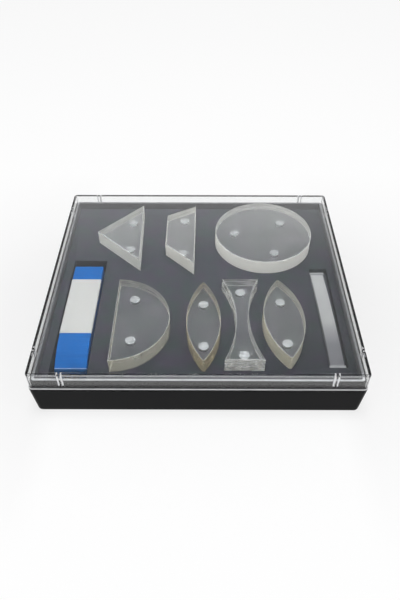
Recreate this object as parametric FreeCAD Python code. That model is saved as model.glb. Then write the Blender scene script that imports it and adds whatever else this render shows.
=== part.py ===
import FreeCAD, Part
import math
import os

V = FreeCAD.Vector

# Optics set: a black case with a clear lift-off lid and a foam insert that holds
# seven acrylic blocks with magnets, a mirror strip and a slim ray lamp.
# Lengths are in millimetres. X runs left to right, Y front to back, Z up.
# The origin is at the middle of the case's footprint, on the surface it stands on.

# Optical blocks
block_thickness = 15.0
block_edge_bevel = 0.4
disc_diameter = 90.0
semicircle_diameter = 90.0
triangle_leg = 58.5
trapezoid_height = 27.0
trapezoid_short_side = 43.7
trapezoid_back_angle = 60.0
trapezoid_front_angle = 45.0
thin_lens_length = 86.0
thin_lens_width = 27.9
thick_lens_length = 86.0
thick_lens_width = 33.0
lens_tip_width = 1.6
concave_lens_length = 89.3
concave_lens_end_width = 30.8
concave_lens_waist = 10.4

# Magnets in the blocks' undersides
magnet_diameter = 8.0
magnet_thickness = 3.9
magnet_depth = 4.0
magnet_gap = 0.1
disc_magnet_angles = (172.0, 47.0, -71.0)
disc_magnet_radius_share = 0.6
triangle_magnet_inset_share = 0.23
triangle_magnet_reach_share = 0.24
trapezoid_magnet_inset_share = 0.39
trapezoid_magnet_reach_shares = (0.30, -0.26)
semicircle_magnet_inset_share = 0.32
semicircle_magnet_reach_shares = (0.29, -0.215)
thin_lens_magnet_reach_shares = (0.255, -0.275)
thick_lens_magnet_reach_shares = (0.255, -0.275)
concave_lens_magnet_reach_shares = (0.38, -0.395)

# Foam insert
insert_thickness = 29.8
insert_rise = 3.0
insert_gap = 0.3
pocket_depth = 2.0
pocket_gap = 0.5
slot_corner_round = 1.2

# Front row, from left to right: lamp, semicircle, thin lens, concave lens, thick lens, mirror
lamp_slot_left_margin = 7.3
lamp_slot_to_semicircle = 16.8
semicircle_to_thin_lens = 13.3
thin_to_concave_lens = 2.1
concave_to_thick_lens = 1.9
thick_lens_to_mirror_slot = 14.2
mirror_slot_right_margin = 6.1
front_margin = 10.2
lamp_slot_front_margin = 2.5
thin_lens_forward = 1.5
concave_lens_back = 1.0
thick_lens_back = 1.5
thick_lens_turn = 1.9

# Back row, from right to left: disc, trapezoid, triangle
row_gap = 23.0
back_margin = 7.8
disc_right_margin = 16.7
trapezoid_to_disc = 19.4
triangle_to_trapezoid = 23.3
trapezoid_forward = 3.7
trapezoid_turn = -0.6
triangle_forward = 0.6
triangle_turn = 1.3

# Mirror strip
mirror_length = 111.0
mirror_width = 12.8
mirror_carrier_thickness = 1.5
mirror_film_thickness = 0.3
mirror_film_side_inset = 0.9
mirror_film_end_inset = 2.8
mirror_bow = 2.8
mirror_turn = 0.8
mirror_seat_gap = 0.1
mirror_slot_depth = 5.2
mirror_slot_side_gap = 1.6
mirror_slot_back_gap = 1.0
mirror_slot_front_gap = 2.0
mirror_slot_forward = 39.2

# Ray lamp body
lamp_length = 115.0
lamp_width = 25.8
lamp_height = 21.0
lamp_wall = 1.6
lamp_nose_length = 32.7
lamp_nose_height = 12.4
lamp_back_round = 1.6
lamp_nose_round = 3.2
lamp_foot_round = 1.0
lamp_side_round = 0.9
lamp_split_height = 7.0
lamp_joint_gap = 0.05
lamp_rise = 1.6
lamp_slot_side_gap = 2.0
lamp_slot_back_gap = 9.1
lamp_slot_front_gap = 12.7
lamp_seat_gap = 0.1

# Ray lamp label
label_back_inset = 18.3
label_thickness = 0.25
label_wrap = 0.6
label_gap = 0.03

# Cells, contacts and battery cover
cell_side_gap = 0.6
cell_pair_gap = 0.4
cell_floor_gap = 0.4
cell_top_gap = 0.9
cell_nub_diameter = 3.8
cell_nub_length = 0.8
contact_back_inset = 8.7
contact_front_inset = 59.0
contact_thickness = 0.4
contact_side_inset = 1.05
contact_top_gap = 0.1
contact_tail_width = 2.0
contact_foot_gap = 0.3
contact_gap = 0.1
spring_length = 1.9
spring_base_diameter = 6.0
spring_tip_diameter = 3.6
spring_wire = 0.4
spring_turns = 2.2
contact_rib_thickness = 1.2
contact_rib_height = 5.0
cover_side_gap = 0.2
cover_side_inset = 2.2
cover_tab_width = 6.0
cover_tab_length = 6.4
cover_seat_gap = 0.1
pad_width = 10.4
pad_height = 3.6

# Screws
screw_shank_diameter = 1.8
screw_head_diameter = 3.4
screw_head_height = 0.9
screw_gap = 0.1
cover_screw_length = 4.6
shell_screw_length = 10.0
shell_screw_recess = 0.4
screw_slot_width = 0.5
screw_slot_length = 2.2
screw_slot_depth = 0.45
boss_diameter = 4.6
boss_side_inset = 4.3
boss_back_inset = 5.0
boss_front_inset = 18.4

# Board, switch and button
board_thickness = 1.2
board_side_inset = 2.9
board_back_inset = 8.0
board_front_inset = 28.5
board_post_diameter = 3.2
board_post_inset = 2.4
board_post_shares = (0.2, 0.78)
switch_width = 6.0
switch_length = 5.6
switch_height = 3.4
switch_top_gap = 1.4
switch_plunger_diameter = 2.0
switch_plunger_length = 1.8
switch_plunger_proud = 1.2
button_width = 8.0
button_height = 3.4
button_proud = 1.6
button_flange = 0.8
button_flange_thickness = 0.8
button_gap = 0.15
button_corner_round = 1.2
button_edge_round = 0.3
button_stem_width = 2.0
button_rest_gap = 0.1
button_travel = 0.8

# Light and optics
optic_axis_height = 6.4
led_diameter = 5.0
led_length = 8.6
led_flange_diameter = 5.8
led_flange_thickness = 1.0
led_front_inset = 20.8
led_lead_size = 0.5
led_lead_pitch = 2.54
holder_thickness = 1.6
holder_gap = 0.1
led_holder_front_inset = 24.2
lens_diameter = 8.0
lens_edge_thickness = 1.6
lens_crown = 1.6
lens_front_inset = 11.0
lens_groove_gap = 0.1
lens_holder_thickness = 3.4
lens_holder_lap = 0.8
slit_plate_side_inset = 5.9
slit_plate_height = 9.2
slit_plate_thickness = 1.0
slit_plate_gap = 0.1
slit_width = 0.8
slit_height = 5.6
slit_pitch = 4.0
slit_count = 3
window_lap = 1.0
window_height = 6.4

# Case: the lid's walls set the outline, and the rim stands a little proud of them
lid_wall = 2.0
lid_top = 2.0
lid_block_gap = 0.6
lid_corner_round = 3.2
lid_edge_round = 2.0
lid_inner_round = 0.7
rim_proud = 0.6
rim_height = 2.3
rim_round = 0.55
lip_gap = 0.8
lip_wall = 2.0
lip_rise = 10.2
lip_corner_round = 2.4
lip_top_round = 0.9
cavity_corner_round = 1.2
base_floor = 2.2
base_corner_round = 3.8
base_edge_round = 0.5
foot_inset = 2.0
foot_round = 4.0

# Grip grooves in the lid's walls
groove_corner_distance = 24.8
groove_radius = 1.7
groove_depth = 1.0
groove_rise = 5.2
groove_rib_width = 4.0
groove_rib_gap = 0.1

# How far a cutting tool runs past the faces it cuts
overrun = 3.0

# Heights that follow from the sizes above
base_height = base_floor + insert_thickness - insert_rise
insert_top = base_floor + insert_thickness
block_bottom = insert_top - pocket_depth
lid_height = insert_rise + block_thickness - pocket_depth + lid_block_gap + lid_top
case_height = base_height + lid_height

# Sizes inside the ray lamp that follow from its body. The cells are the largest that fit it both ways
label_length = lamp_length - lamp_nose_length - label_back_inset
board_width = lamp_width - 2 * board_side_inset
board_height = lamp_height - lamp_wall - switch_top_gap - switch_height - board_thickness
cell_room_across = (lamp_width - cell_pair_gap) / 2 - lamp_wall - cell_side_gap
cell_room_up = board_height - cell_top_gap - cell_floor_gap - lamp_wall
cell_diameter = min(cell_room_across, cell_room_up)
cell_length = (lamp_length - contact_back_inset - contact_front_inset - spring_length - cell_nub_length
               - contact_gap)
contact_width = cell_diameter - 2 * contact_side_inset
contact_height = cell_diameter - contact_top_gap
cover_width = lamp_width - 2 * cover_side_inset
slit_plate_width = lamp_width - 2 * slit_plate_side_inset
window_width = slit_plate_width - 2 * window_lap

# Plan sizes that follow from what the insert holds
lamp_slot_width = lamp_width + 2 * lamp_slot_side_gap
mirror_slot_width = mirror_width + 2 * mirror_slot_side_gap
semicircle_radius = semicircle_diameter / 2
disc_radius = disc_diameter / 2
row_width = (lamp_slot_left_margin + lamp_slot_width + lamp_slot_to_semicircle + semicircle_radius
             + semicircle_to_thin_lens + thin_lens_width + thin_to_concave_lens
             + concave_lens_end_width + concave_to_thick_lens + thick_lens_width
             + thick_lens_to_mirror_slot + mirror_slot_width + mirror_slot_right_margin)
insert_width = row_width
insert_depth = front_margin + semicircle_diameter + row_gap + disc_diameter + back_margin
side_stack = insert_gap + lip_wall + lip_gap + lid_wall
case_width = insert_width + 2 * side_stack
case_depth = insert_depth + 2 * side_stack
rim_width = case_width + 2 * rim_proud
rim_depth = case_depth + 2 * rim_proud

# Places along the front row
insert_left = -insert_width / 2
insert_front = -insert_depth / 2
insert_back = insert_depth / 2
lamp_x = insert_left + lamp_slot_left_margin + lamp_slot_width / 2
semicircle_x = lamp_x + lamp_slot_width / 2 + lamp_slot_to_semicircle
thin_lens_x = semicircle_x + semicircle_radius + semicircle_to_thin_lens + thin_lens_width / 2
concave_lens_x = thin_lens_x + thin_lens_width / 2 + thin_to_concave_lens + concave_lens_end_width / 2
thick_lens_x = (concave_lens_x + concave_lens_end_width / 2 + concave_to_thick_lens
                + thick_lens_width / 2)
mirror_x = thick_lens_x + thick_lens_width / 2 + thick_lens_to_mirror_slot + mirror_slot_width / 2
front_row_y = insert_front + front_margin + semicircle_radius
lamp_slot_front = insert_front + lamp_slot_front_margin
lamp_front_y = lamp_slot_front + lamp_slot_front_gap
lamp_back_y = lamp_front_y + lamp_length
lamp_slot_back = lamp_back_y + lamp_slot_back_gap
lamp_floor = insert_top + lamp_rise - lamp_height

# Places along the back row
back_row_y = insert_back - back_margin - disc_radius
disc_x = insert_width / 2 - disc_right_margin - disc_radius
trapezoid_x = disc_x - disc_radius - trapezoid_to_disc
triangle_x = trapezoid_x - trapezoid_height - triangle_to_trapezoid


def box(x0, x1, y0, y1, z0, z1):
    """A box between two corners."""
    return Part.makeBox(x1 - x0, y1 - y0, z1 - z0, V(x0, y0, z0))


def centred_box(x, y, width, depth, z0, z1):
    """A box centred on x and y."""
    return box(x - width / 2, x + width / 2, y - depth / 2, y + depth / 2, z0, z1)


def upright(radius, z0, z1, x=0, y=0):
    """An upright cylinder."""
    return Part.makeCylinder(radius, z1 - z0, V(x, y, z0))


def along_y(radius, y0, y1, x, z):
    """A cylinder that lies along Y."""
    return Part.makeCylinder(radius, y1 - y0, V(x, y0, z), V(0, 1, 0))


def line(a, b):
    return Part.LineSegment(V(*a), V(*b)).toShape()


def arc(a, middle, b):
    return Part.Arc(V(*a), V(*middle), V(*b)).toShape()


def face_of(edges):
    """The flat face inside a closed chain of edges."""
    return Part.Face(Part.Wire(edges))


def rounded_rectangle(width, depth, radius, z=0):
    """A flat face with four equal round corners, centred on the Z axis."""
    body = box(-width / 2, width / 2, -depth / 2, depth / 2, z, z + overrun)
    corners = [e for e in body.Edges if abs(e.Vertexes[0].Z - e.Vertexes[1].Z) > overrun / 2]
    body = body.makeFillet(radius, corners)
    return min(body.Faces, key=lambda f: f.CenterOfMass.z)


def slab(face, z0, z1):
    """A flat face at z0 pulled up to z1."""
    return face.extrude(V(0, 0, z1 - z0))


def rounded_block(width, depth, radius, z0, z1):
    return slab(rounded_rectangle(width, depth, radius, z0), z0, z1)


def frustum(foot_width, foot_depth, top_width, top_depth, z0, z1):
    """A solid with a small rectangular foot, a larger top and four flat slanting walls."""
    signs = ((-1, -1), (1, -1), (1, 1), (-1, 1))
    foot = [V(sx * foot_width / 2, sy * foot_depth / 2, z0) for sx, sy in signs]
    top = [V(sx * top_width / 2, sy * top_depth / 2, z1) for sx, sy in signs]
    loops = [foot, top]
    for i in range(len(foot)):
        j = (i + 1) % len(foot)
        loops.append([foot[i], foot[j], top[j], top[i]])
    shell = Part.makeShell([Part.Face(Part.makePolygon(loop + loop[:1])) for loop in loops])
    return Part.makeSolid(shell).removeSplitter()


def edges_at(shape, z, tolerance):
    """The edges that lie wholly at one height."""
    return [e for e in shape.Edges
            if abs(e.BoundBox.ZMin - z) < tolerance and abs(e.BoundBox.ZMax - z) < tolerance]


def export(name, shape):
    """Write one named piece."""
    shape.exportStep("parts/" + name + ".step")


# Outlines of the optical blocks, flat at z = 0 about their own origins

def disc_outline():
    return face_of([Part.Circle(V(0, 0, 0), V(0, 0, 1), disc_radius).toShape()])


def semicircle_outline():
    r = semicircle_radius
    return face_of([line((0, r, 0), (0, -r, 0)), arc((0, -r, 0), (r, 0, 0), (0, r, 0))])


def triangle_outline():
    half = triangle_leg / math.sqrt(2)
    corners = [(0, half, 0), (-half, 0, 0), (0, -half, 0)]
    return face_of([line(corners[i - 1], corners[i]) for i in range(len(corners))])


def trapezoid_long_half():
    """Half the long side, with the short side kept between its two ends."""
    back = trapezoid_height / math.tan(math.radians(trapezoid_back_angle))
    front = trapezoid_height / math.tan(math.radians(trapezoid_front_angle))
    return (trapezoid_short_side + back + front) / 2


def trapezoid_outline():
    half = trapezoid_long_half()
    back = trapezoid_height / math.tan(math.radians(trapezoid_back_angle))
    front = trapezoid_height / math.tan(math.radians(trapezoid_front_angle))
    h = trapezoid_height
    corners = [(0, half, 0), (-h, half - back, 0), (-h, front - half, 0), (0, -half, 0)]
    return face_of([line(corners[i - 1], corners[i]) for i in range(len(corners))])


def lens_outline(length, end_width, middle_width):
    """Two arcs joined by short flats: bulging where the middle is wider than the ends."""
    y = length / 2
    e = end_width / 2
    m = middle_width / 2
    return face_of([arc((e, y, 0), (m, 0, 0), (e, -y, 0)), line((e, -y, 0), (-e, -y, 0)),
                    arc((-e, -y, 0), (-m, 0, 0), (-e, y, 0)), line((-e, y, 0), (e, y, 0))])


def in_line(x, length, shares):
    """Magnet places one behind the other along a block."""
    return [(x, share * length) for share in shares]


def disc_magnets():
    r = disc_magnet_radius_share * disc_radius
    return [(r * math.cos(math.radians(a)), r * math.sin(math.radians(a))) for a in disc_magnet_angles]


# Each block: name, outline, magnet places, place in the case and turn about Z
triangle_length = triangle_leg * math.sqrt(2)
BLOCKS = [
    ("triangle_prism", triangle_outline(),
     in_line(-triangle_magnet_inset_share * triangle_length / 2, triangle_length,
             (triangle_magnet_reach_share, -triangle_magnet_reach_share)),
     triangle_x, back_row_y - triangle_forward, triangle_turn),
    ("trapezoid_prism", trapezoid_outline(),
     in_line(-trapezoid_magnet_inset_share * trapezoid_height, 2 * trapezoid_long_half(),
             trapezoid_magnet_reach_shares),
     trapezoid_x, back_row_y - trapezoid_forward, trapezoid_turn),
    ("round_disc", disc_outline(), disc_magnets(), disc_x, back_row_y, 0),
    ("semicircle_lens", semicircle_outline(),
     in_line(semicircle_magnet_inset_share * semicircle_radius, semicircle_diameter,
             semicircle_magnet_reach_shares),
     semicircle_x, front_row_y, 0),
    ("thin_biconvex_lens", lens_outline(thin_lens_length, lens_tip_width, thin_lens_width),
     in_line(0, thin_lens_length, thin_lens_magnet_reach_shares),
     thin_lens_x, front_row_y - thin_lens_forward, 0),
    ("biconcave_lens", lens_outline(concave_lens_length, concave_lens_end_width, concave_lens_waist),
     in_line(0, concave_lens_length, concave_lens_magnet_reach_shares),
     concave_lens_x, front_row_y + concave_lens_back, 0),
    ("thick_biconvex_lens", lens_outline(thick_lens_length, lens_tip_width, thick_lens_width),
     in_line(0, thick_lens_length, thick_lens_magnet_reach_shares),
     thick_lens_x, front_row_y + thick_lens_back, thick_lens_turn),
]


def placed(shape, x, y, z, turn):
    """A copy turned about Z at its own origin and then moved."""
    copy = shape.copy()
    copy.rotate(V(0, 0, 0), V(0, 0, 1), turn)
    copy.translate(V(x, y, z))
    return copy


def block_solid(outline, magnets):
    """A bevelled acrylic block with blind round holes for its magnets."""
    body = slab(outline, 0, block_thickness)
    rims = edges_at(body, 0, block_edge_bevel / 2) + edges_at(body, block_thickness, block_edge_bevel / 2)
    body = body.makeChamfer(block_edge_bevel, rims)
    for x, y in magnets:
        body = body.cut(upright(magnet_diameter / 2 + magnet_gap, -overrun, magnet_depth, x, y))
    return body


def magnet_solids(magnets):
    """Disc magnets, flush with the underside but for a small gap above."""
    base = magnet_depth - magnet_thickness
    return Part.makeCompound([upright(magnet_diameter / 2, base / 2, base / 2 + magnet_thickness, x, y)
                              for x, y in magnets])


def make_blocks():
    for name, outline, magnets, x, y, turn in BLOCKS:
        export(name, placed(block_solid(outline, magnets), x, y, block_bottom, turn))
        export(name + "_magnets", placed(magnet_solids(magnets), x, y, block_bottom, turn))


# Foam insert

def slot(x0, x1, y0, y1, floor):
    """A deep slot cutter with slightly round corners."""
    tool = box(x0, x1, y0, y1, floor, insert_top + overrun)
    corners = [e for e in tool.Edges if e.BoundBox.ZLength > overrun]
    return tool.makeFillet(slot_corner_round, corners)


def mirror_slot_range():
    """Front and back ends of the mirror's slot."""
    length = mirror_length + mirror_slot_back_gap + mirror_slot_front_gap
    return -mirror_slot_forward - length / 2, -mirror_slot_forward + length / 2


def foam_insert():
    body = rounded_block(insert_width, insert_depth, cavity_corner_round, base_floor, insert_top)
    for name, outline, magnets, x, y, turn in BLOCKS:
        pocket = outline.makeOffset2D(pocket_gap)
        body = body.cut(placed(slab(pocket, block_bottom, insert_top + overrun), x, y, block_bottom, turn))
    half = lamp_slot_width / 2
    body = body.cut(slot(lamp_x - half, lamp_x + half, lamp_slot_front, lamp_slot_back,
                         lamp_floor - lamp_seat_gap))
    half = mirror_slot_width / 2
    front, back = mirror_slot_range()
    body = body.cut(slot(mirror_x - half, mirror_x + half, front, back, insert_top - mirror_slot_depth))
    return body


# Mirror strip, bowed up in the middle

def bowed_strip(length, width, low, high):
    """A strip along Y between two heights, bent to a shallow arc."""
    radius = ((mirror_length / 2) ** 2 + mirror_bow ** 2) / (2 * mirror_bow)
    centre = mirror_bow - radius
    half = length / 2

    def height(y, rise):
        return centre + math.sqrt((radius + rise) ** 2 - y ** 2)

    x = -width / 2
    near_low = (x, -half, height(half, low))
    far_low = (x, half, height(half, low))
    near_high = (x, -half, height(half, high))
    far_high = (x, half, height(half, high))
    edges = [arc(near_low, (x, 0, height(0, low)), far_low), line(far_low, far_high),
             arc(far_high, (x, 0, height(0, high)), near_high), line(near_high, near_low)]
    return face_of(edges).extrude(V(width, 0, 0))


def make_mirror():
    front, back = mirror_slot_range()
    y = back - mirror_slot_back_gap - mirror_length / 2
    z = insert_top - mirror_slot_depth + mirror_seat_gap
    carrier = bowed_strip(mirror_length, mirror_width, mirror_film_thickness,
                          mirror_film_thickness + mirror_carrier_thickness)
    film = bowed_strip(mirror_length - 2 * mirror_film_end_inset, mirror_width - 2 * mirror_film_side_inset,
                       0, mirror_film_thickness)
    export("mirror_carrier", placed(carrier, mirror_x, y, z, mirror_turn))
    export("mirror_film", placed(film, mirror_x, y, z, mirror_turn))


# Ray lamp, built with its back end at y = 0, its nose towards -Y and its underside at z = 0

def lamp_profile():
    """The lamp's side view with sharp corners: a flat back part and a nose that curves down."""
    drop = lamp_height - lamp_nose_height
    run = lamp_nose_length
    radius = (run ** 2 + drop ** 2) / (2 * drop)
    start = run - lamp_length
    bend = math.asin(run / radius) / 2
    middle = (0, start - radius * math.sin(bend), lamp_height - radius * (1 - math.cos(bend)))
    tip = (0, -lamp_length, lamp_nose_height)
    return face_of([line((0, 0, 0), (0, 0, lamp_height)), line((0, 0, lamp_height), (0, start, lamp_height)),
                    arc((0, start, lamp_height), middle, tip), line(tip, (0, -lamp_length, 0)),
                    line((0, -lamp_length, 0), (0, 0, 0))])


def cross_edges(shape, y, z):
    """The edges that run from side to side at one place in the lamp's side view."""
    near = lamp_foot_round / 2
    return [e for e in shape.Edges if e.BoundBox.XLength > lamp_width / 2
            and abs(e.CenterOfMass.y - y) < near and abs(e.CenterOfMass.z - z) < near]


def lamp_outer():
    body = lamp_profile().extrude(V(lamp_width, 0, 0))
    body.translate(V(-lamp_width / 2, 0, 0))
    body = body.makeFillet(lamp_nose_round, cross_edges(body, -lamp_length, lamp_nose_height))
    body = body.makeFillet(lamp_back_round, cross_edges(body, 0, lamp_height))
    body = body.makeFillet(lamp_foot_round, cross_edges(body, 0, 0) + cross_edges(body, -lamp_length, 0))
    sides = [e for e in body.Edges if e.BoundBox.XLength < lamp_side_round / 2]
    return body.makeFillet(lamp_side_round, sides)


def lamp_inner():
    body = lamp_profile().makeOffset2D(-lamp_wall).extrude(V(lamp_width - 2 * lamp_wall, 0, 0))
    body.translate(V(lamp_wall - lamp_width / 2, 0, 0))
    return body


def lamp_window():
    """The opening in the nose for the light."""
    z = optic_axis_height
    return box(-window_width / 2, window_width / 2, -lamp_length - overrun,
               -lamp_length + lamp_wall + overrun, z - window_height / 2, z + window_height / 2)


def below(z):
    return box(-lamp_width, lamp_width, -2 * lamp_length, lamp_length, z - 2 * lamp_height, z)


def above(z):
    return box(-lamp_width, lamp_width, -2 * lamp_length, lamp_length, z, z + 2 * lamp_height)


# Places along the lamp
boss_places = [(side * (lamp_width / 2 - boss_side_inset), y) for side in (-1, 1)
               for y in (-boss_back_inset, boss_front_inset - lamp_length)]
cell_z = lamp_wall + cell_floor_gap + cell_diameter / 2
cell_pitch = cell_diameter + cell_pair_gap
back_contact_y = -contact_back_inset
front_contact_y = back_contact_y - spring_length - cell_length - cell_nub_length - contact_gap
cover_back_y = back_contact_y + contact_thickness + contact_gap
cover_front_y = front_contact_y - contact_thickness - contact_gap
screw_tabs = [(cover_back_y, 1), (cover_front_y, -1)]


def cover_screw_y(edge, way):
    return edge + way * cover_tab_length / 2


def cover_outline(gap, low, high):
    """The battery cover with its two screw tabs, or with a gap the opening that it fits."""
    half = cover_width / 2 + gap
    shape = box(-half, half, cover_front_y - gap, cover_back_y + gap, low, high)
    for edge, way in screw_tabs:
        tab = cover_tab_width / 2 + gap
        end = edge + way * (cover_tab_length + gap)
        shape = shape.fuse(box(-tab, tab, min(edge, end), max(edge, end), low, high))
    return shape.removeSplitter()


def contact_ribs():
    """Low cross ribs behind the contact plates."""
    ribs = []
    for y, way in ((back_contact_y + contact_thickness, 1), (front_contact_y - contact_thickness, -1)):
        near = y + way * contact_gap
        far = near + way * contact_rib_thickness
        half = lamp_width / 2 - lamp_wall
        ribs.append(box(-half, half, min(near, far), max(near, far), lamp_wall,
                        lamp_wall + contact_rib_height))
    return ribs


def cover_pads():
    """Raised pads over the cover's tabs, which take its screws."""
    pads = []
    for edge, way in screw_tabs:
        near = edge + way * (contact_gap + contact_rib_thickness / 2)
        far = edge + way * cover_tab_length
        pads.append(box(-pad_width / 2, pad_width / 2, min(near, far), max(near, far), lamp_wall,
                        lamp_wall + pad_height))
    return pads


def led_holder():
    """A cross wall that carries the diode."""
    y = led_holder_front_inset - lamp_length
    half = led_flange_diameter / 2 + holder_thickness
    wall = box(-half, half, y, y + holder_thickness, lamp_wall,
               optic_axis_height + led_diameter / 2 + holder_thickness)
    return wall.cut(along_y(led_diameter / 2 + holder_gap, y - overrun, y + overrun, 0, optic_axis_height))


def board_posts(shares):
    """Plan places of the posts that hold the board, at shares of its length from the back."""
    length = lamp_length - board_back_inset - board_front_inset
    x = board_width / 2 - board_post_inset
    return [(side * x, -board_back_inset - share * length) for share in shares for side in (-1, 1)]


def lens_holder():
    """A cross block with a groove that the lens drops into."""
    y = lens_front_inset - lamp_length
    half = lens_diameter / 2
    edge = lens_edge_thickness / 2
    block = box(-half - holder_thickness, half + holder_thickness, y - lens_holder_thickness / 2,
                y + lens_holder_thickness / 2, lamp_wall, optic_axis_height)
    bore = along_y(half - lens_holder_lap, y - lens_holder_thickness, y + lens_holder_thickness, 0,
                   optic_axis_height)
    groove = along_y(half + lens_groove_gap, y - edge - lens_groove_gap, y + edge + lens_groove_gap, 0,
                     optic_axis_height)
    return block.cut(bore).cut(groove)


def slit_groove_y():
    return -lamp_length + lamp_wall + slit_plate_gap


def slit_rails():
    """Two small rails that hold the slit plate against the nose wall."""
    y0 = -lamp_length + lamp_wall
    y1 = slit_groove_y() + slit_plate_thickness + slit_plate_gap
    rails = []
    for side in (-1, 1):
        near = side * (slit_plate_width / 2 + slit_plate_gap)
        far = near + side * holder_thickness
        lap = near - side * holder_thickness
        rails.append(box(min(near, far), max(near, far), y0, y1, lamp_wall, lamp_split_height))
        rails.append(box(min(lap, far), max(lap, far), y1, y1 + holder_thickness / 2, lamp_wall,
                         lamp_split_height))
    return rails


def lamp_bottom_shell():
    body = lamp_outer().cut(lamp_inner()).common(below(lamp_split_height))
    body = body.cut(cover_outline(cover_side_gap, -overrun, lamp_wall))
    for piece in contact_ribs() + cover_pads() + slit_rails() + [led_holder(), lens_holder()]:
        body = body.fuse(piece)
    for x, y in boss_places:
        post = upright(boss_diameter / 2, 0, lamp_split_height - lamp_joint_gap, x, y)
        body = body.fuse(post)
    for x, y in boss_places:
        body = body.cut(upright(screw_shank_diameter / 2 + screw_gap, -overrun, lamp_split_height, x, y))
        body = body.cut(upright(screw_head_diameter / 2 + screw_gap, -overrun,
                                shell_screw_recess + screw_head_height, x, y))
    for edge, way in screw_tabs:
        body = body.cut(upright(screw_shank_diameter / 2 + screw_gap, 0, cover_screw_length, 0,
                                cover_screw_y(edge, way)))
    for x, y in board_posts(board_post_shares[1:]):
        body = body.fuse(upright(board_post_diameter / 2, lamp_wall, board_height, x, y))
    return body.cut(lamp_window()).removeSplitter()


def button_place():
    """Height of the button's middle, level with the switch on the board."""
    return board_height + board_thickness + switch_height / 2


def lamp_top_shell():
    body = lamp_outer().cut(lamp_inner()).common(above(lamp_split_height))
    inner = lamp_inner()
    for x, y in boss_places:
        post = upright(boss_diameter / 2, lamp_split_height + lamp_joint_gap, lamp_height, x, y)
        body = body.fuse(post.common(inner))
    for x, y in board_posts(board_post_shares):
        post = upright(board_post_diameter / 2, board_height + board_thickness, lamp_height, x, y)
        body = body.fuse(post.common(inner))
    y = lens_front_inset - lamp_length
    half = lens_edge_thickness / 2
    keeper = box(-half, half, y - half, y + half, optic_axis_height + lens_diameter / 2 + lens_groove_gap,
                 lamp_height)
    body = body.fuse(keeper.common(inner))
    for x, y in boss_places:
        top = shell_screw_recess + screw_head_height + shell_screw_length + screw_gap
        body = body.cut(upright(screw_shank_diameter / 2 + screw_gap, 0, top, x, y))
    z = button_place()
    hole = rounded_button(button_gap, -lamp_wall - overrun, overrun)
    hole.translate(V(0, 0, z))
    return body.cut(hole).cut(lamp_window()).removeSplitter()


def rounded_button(grow, y0, y1):
    """A bar along Y with the button's rounded outline, about its own axis."""
    width = button_width + 2 * grow
    height = button_height + 2 * grow
    bar = box(-width / 2, width / 2, y0, y1, -height / 2, height / 2)
    long_edges = [e for e in bar.Edges if e.BoundBox.YLength > (y1 - y0) / 2]
    return bar.makeFillet(button_corner_round, long_edges)


def power_button():
    """The cap outside, a flange inside that keeps it in, and a stem to the switch."""
    flange_y = -lamp_wall - button_rest_gap
    body = rounded_button(0, flange_y, button_proud)
    tip = [e for e in body.Edges if e.BoundBox.YMin > button_proud - button_edge_round]
    body = body.makeFillet(button_edge_round, tip)
    body = body.fuse(rounded_button(button_flange, flange_y - button_flange_thickness, flange_y))
    half = button_stem_width / 2
    stem = box(-half, half, plunger_tip_y(), flange_y - button_flange_thickness, -half, half)
    body = body.fuse(stem).removeSplitter()
    body.translate(V(0, 0, button_place()))
    return body


def plunger_tip_y():
    """Where the switch's plunger meets the button's stem."""
    return switch_plunger_proud - board_back_inset


def tact_switch():
    """A small switch lying on the board, with a blind bore for its plunger."""
    z0 = board_height + board_thickness
    y1 = -board_back_inset
    body = box(-switch_width / 2, switch_width / 2, y1 - switch_length, y1, z0, z0 + switch_height)
    depth = switch_plunger_length - switch_plunger_proud + button_travel + contact_gap
    return body.cut(along_y(switch_plunger_diameter / 2 + contact_gap, y1 - depth, y1 + overrun, 0,
                            button_place()))


def switch_plunger():
    tip = plunger_tip_y()
    return along_y(switch_plunger_diameter / 2, tip - switch_plunger_length, tip, 0, button_place())


def led_back_y():
    """The back of the diode's flange."""
    return led_front_inset - lamp_length + led_length


def led_lead_places():
    y = led_back_y() + led_lead_pitch / 2
    return [(side * led_lead_pitch / 2, y) for side in (-1, 1)]


def circuit_board():
    y1 = -board_back_inset
    y0 = board_front_inset - lamp_length
    body = box(-board_width / 2, board_width / 2, y0, y1, board_height, board_height + board_thickness)
    for x, y in led_lead_places():
        size = led_lead_size + 2 * contact_gap
        body = body.cut(centred_box(x, y, size, size, board_height - overrun, board_height + overrun))
    return body


def led():
    """A round diode with a dome in front, a flange behind and two bent leads up to the board."""
    back = led_back_y()
    radius = led_diameter / 2
    front = back - led_length
    body = along_y(radius, front + radius, back, 0, optic_axis_height)
    dome = Part.makeSphere(radius, V(0, front + radius, optic_axis_height))
    flange = along_y(led_flange_diameter / 2, back - led_flange_thickness, back, 0, optic_axis_height)
    body = body.fuse(dome).fuse(flange)
    s = led_lead_size / 2
    for x, y in led_lead_places():
        body = body.fuse(box(x - s, x + s, back - led_flange_thickness, y + s, optic_axis_height - s,
                             optic_axis_height + s))
        body = body.fuse(box(x - s, x + s, y - s, y + s, optic_axis_height - s,
                             board_height + board_thickness))
    return body.removeSplitter()


def collimating_lens():
    """A flat-backed lens with a crowned front, its edge in the holder's groove."""
    y = lens_front_inset - lamp_length
    half = lens_edge_thickness / 2
    edge = along_y(lens_diameter / 2, y - half, y + half, 0, optic_axis_height)
    base = lens_diameter / 2 - lens_holder_lap - lens_groove_gap
    radius = (base ** 2 + lens_crown ** 2) / (2 * lens_crown)
    ball = Part.makeSphere(radius, V(0, y - half - lens_crown + radius, optic_axis_height))
    crown = ball.common(along_y(base, y - half - lens_crown, y, 0, optic_axis_height))
    return edge.fuse(crown).removeSplitter()


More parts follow.
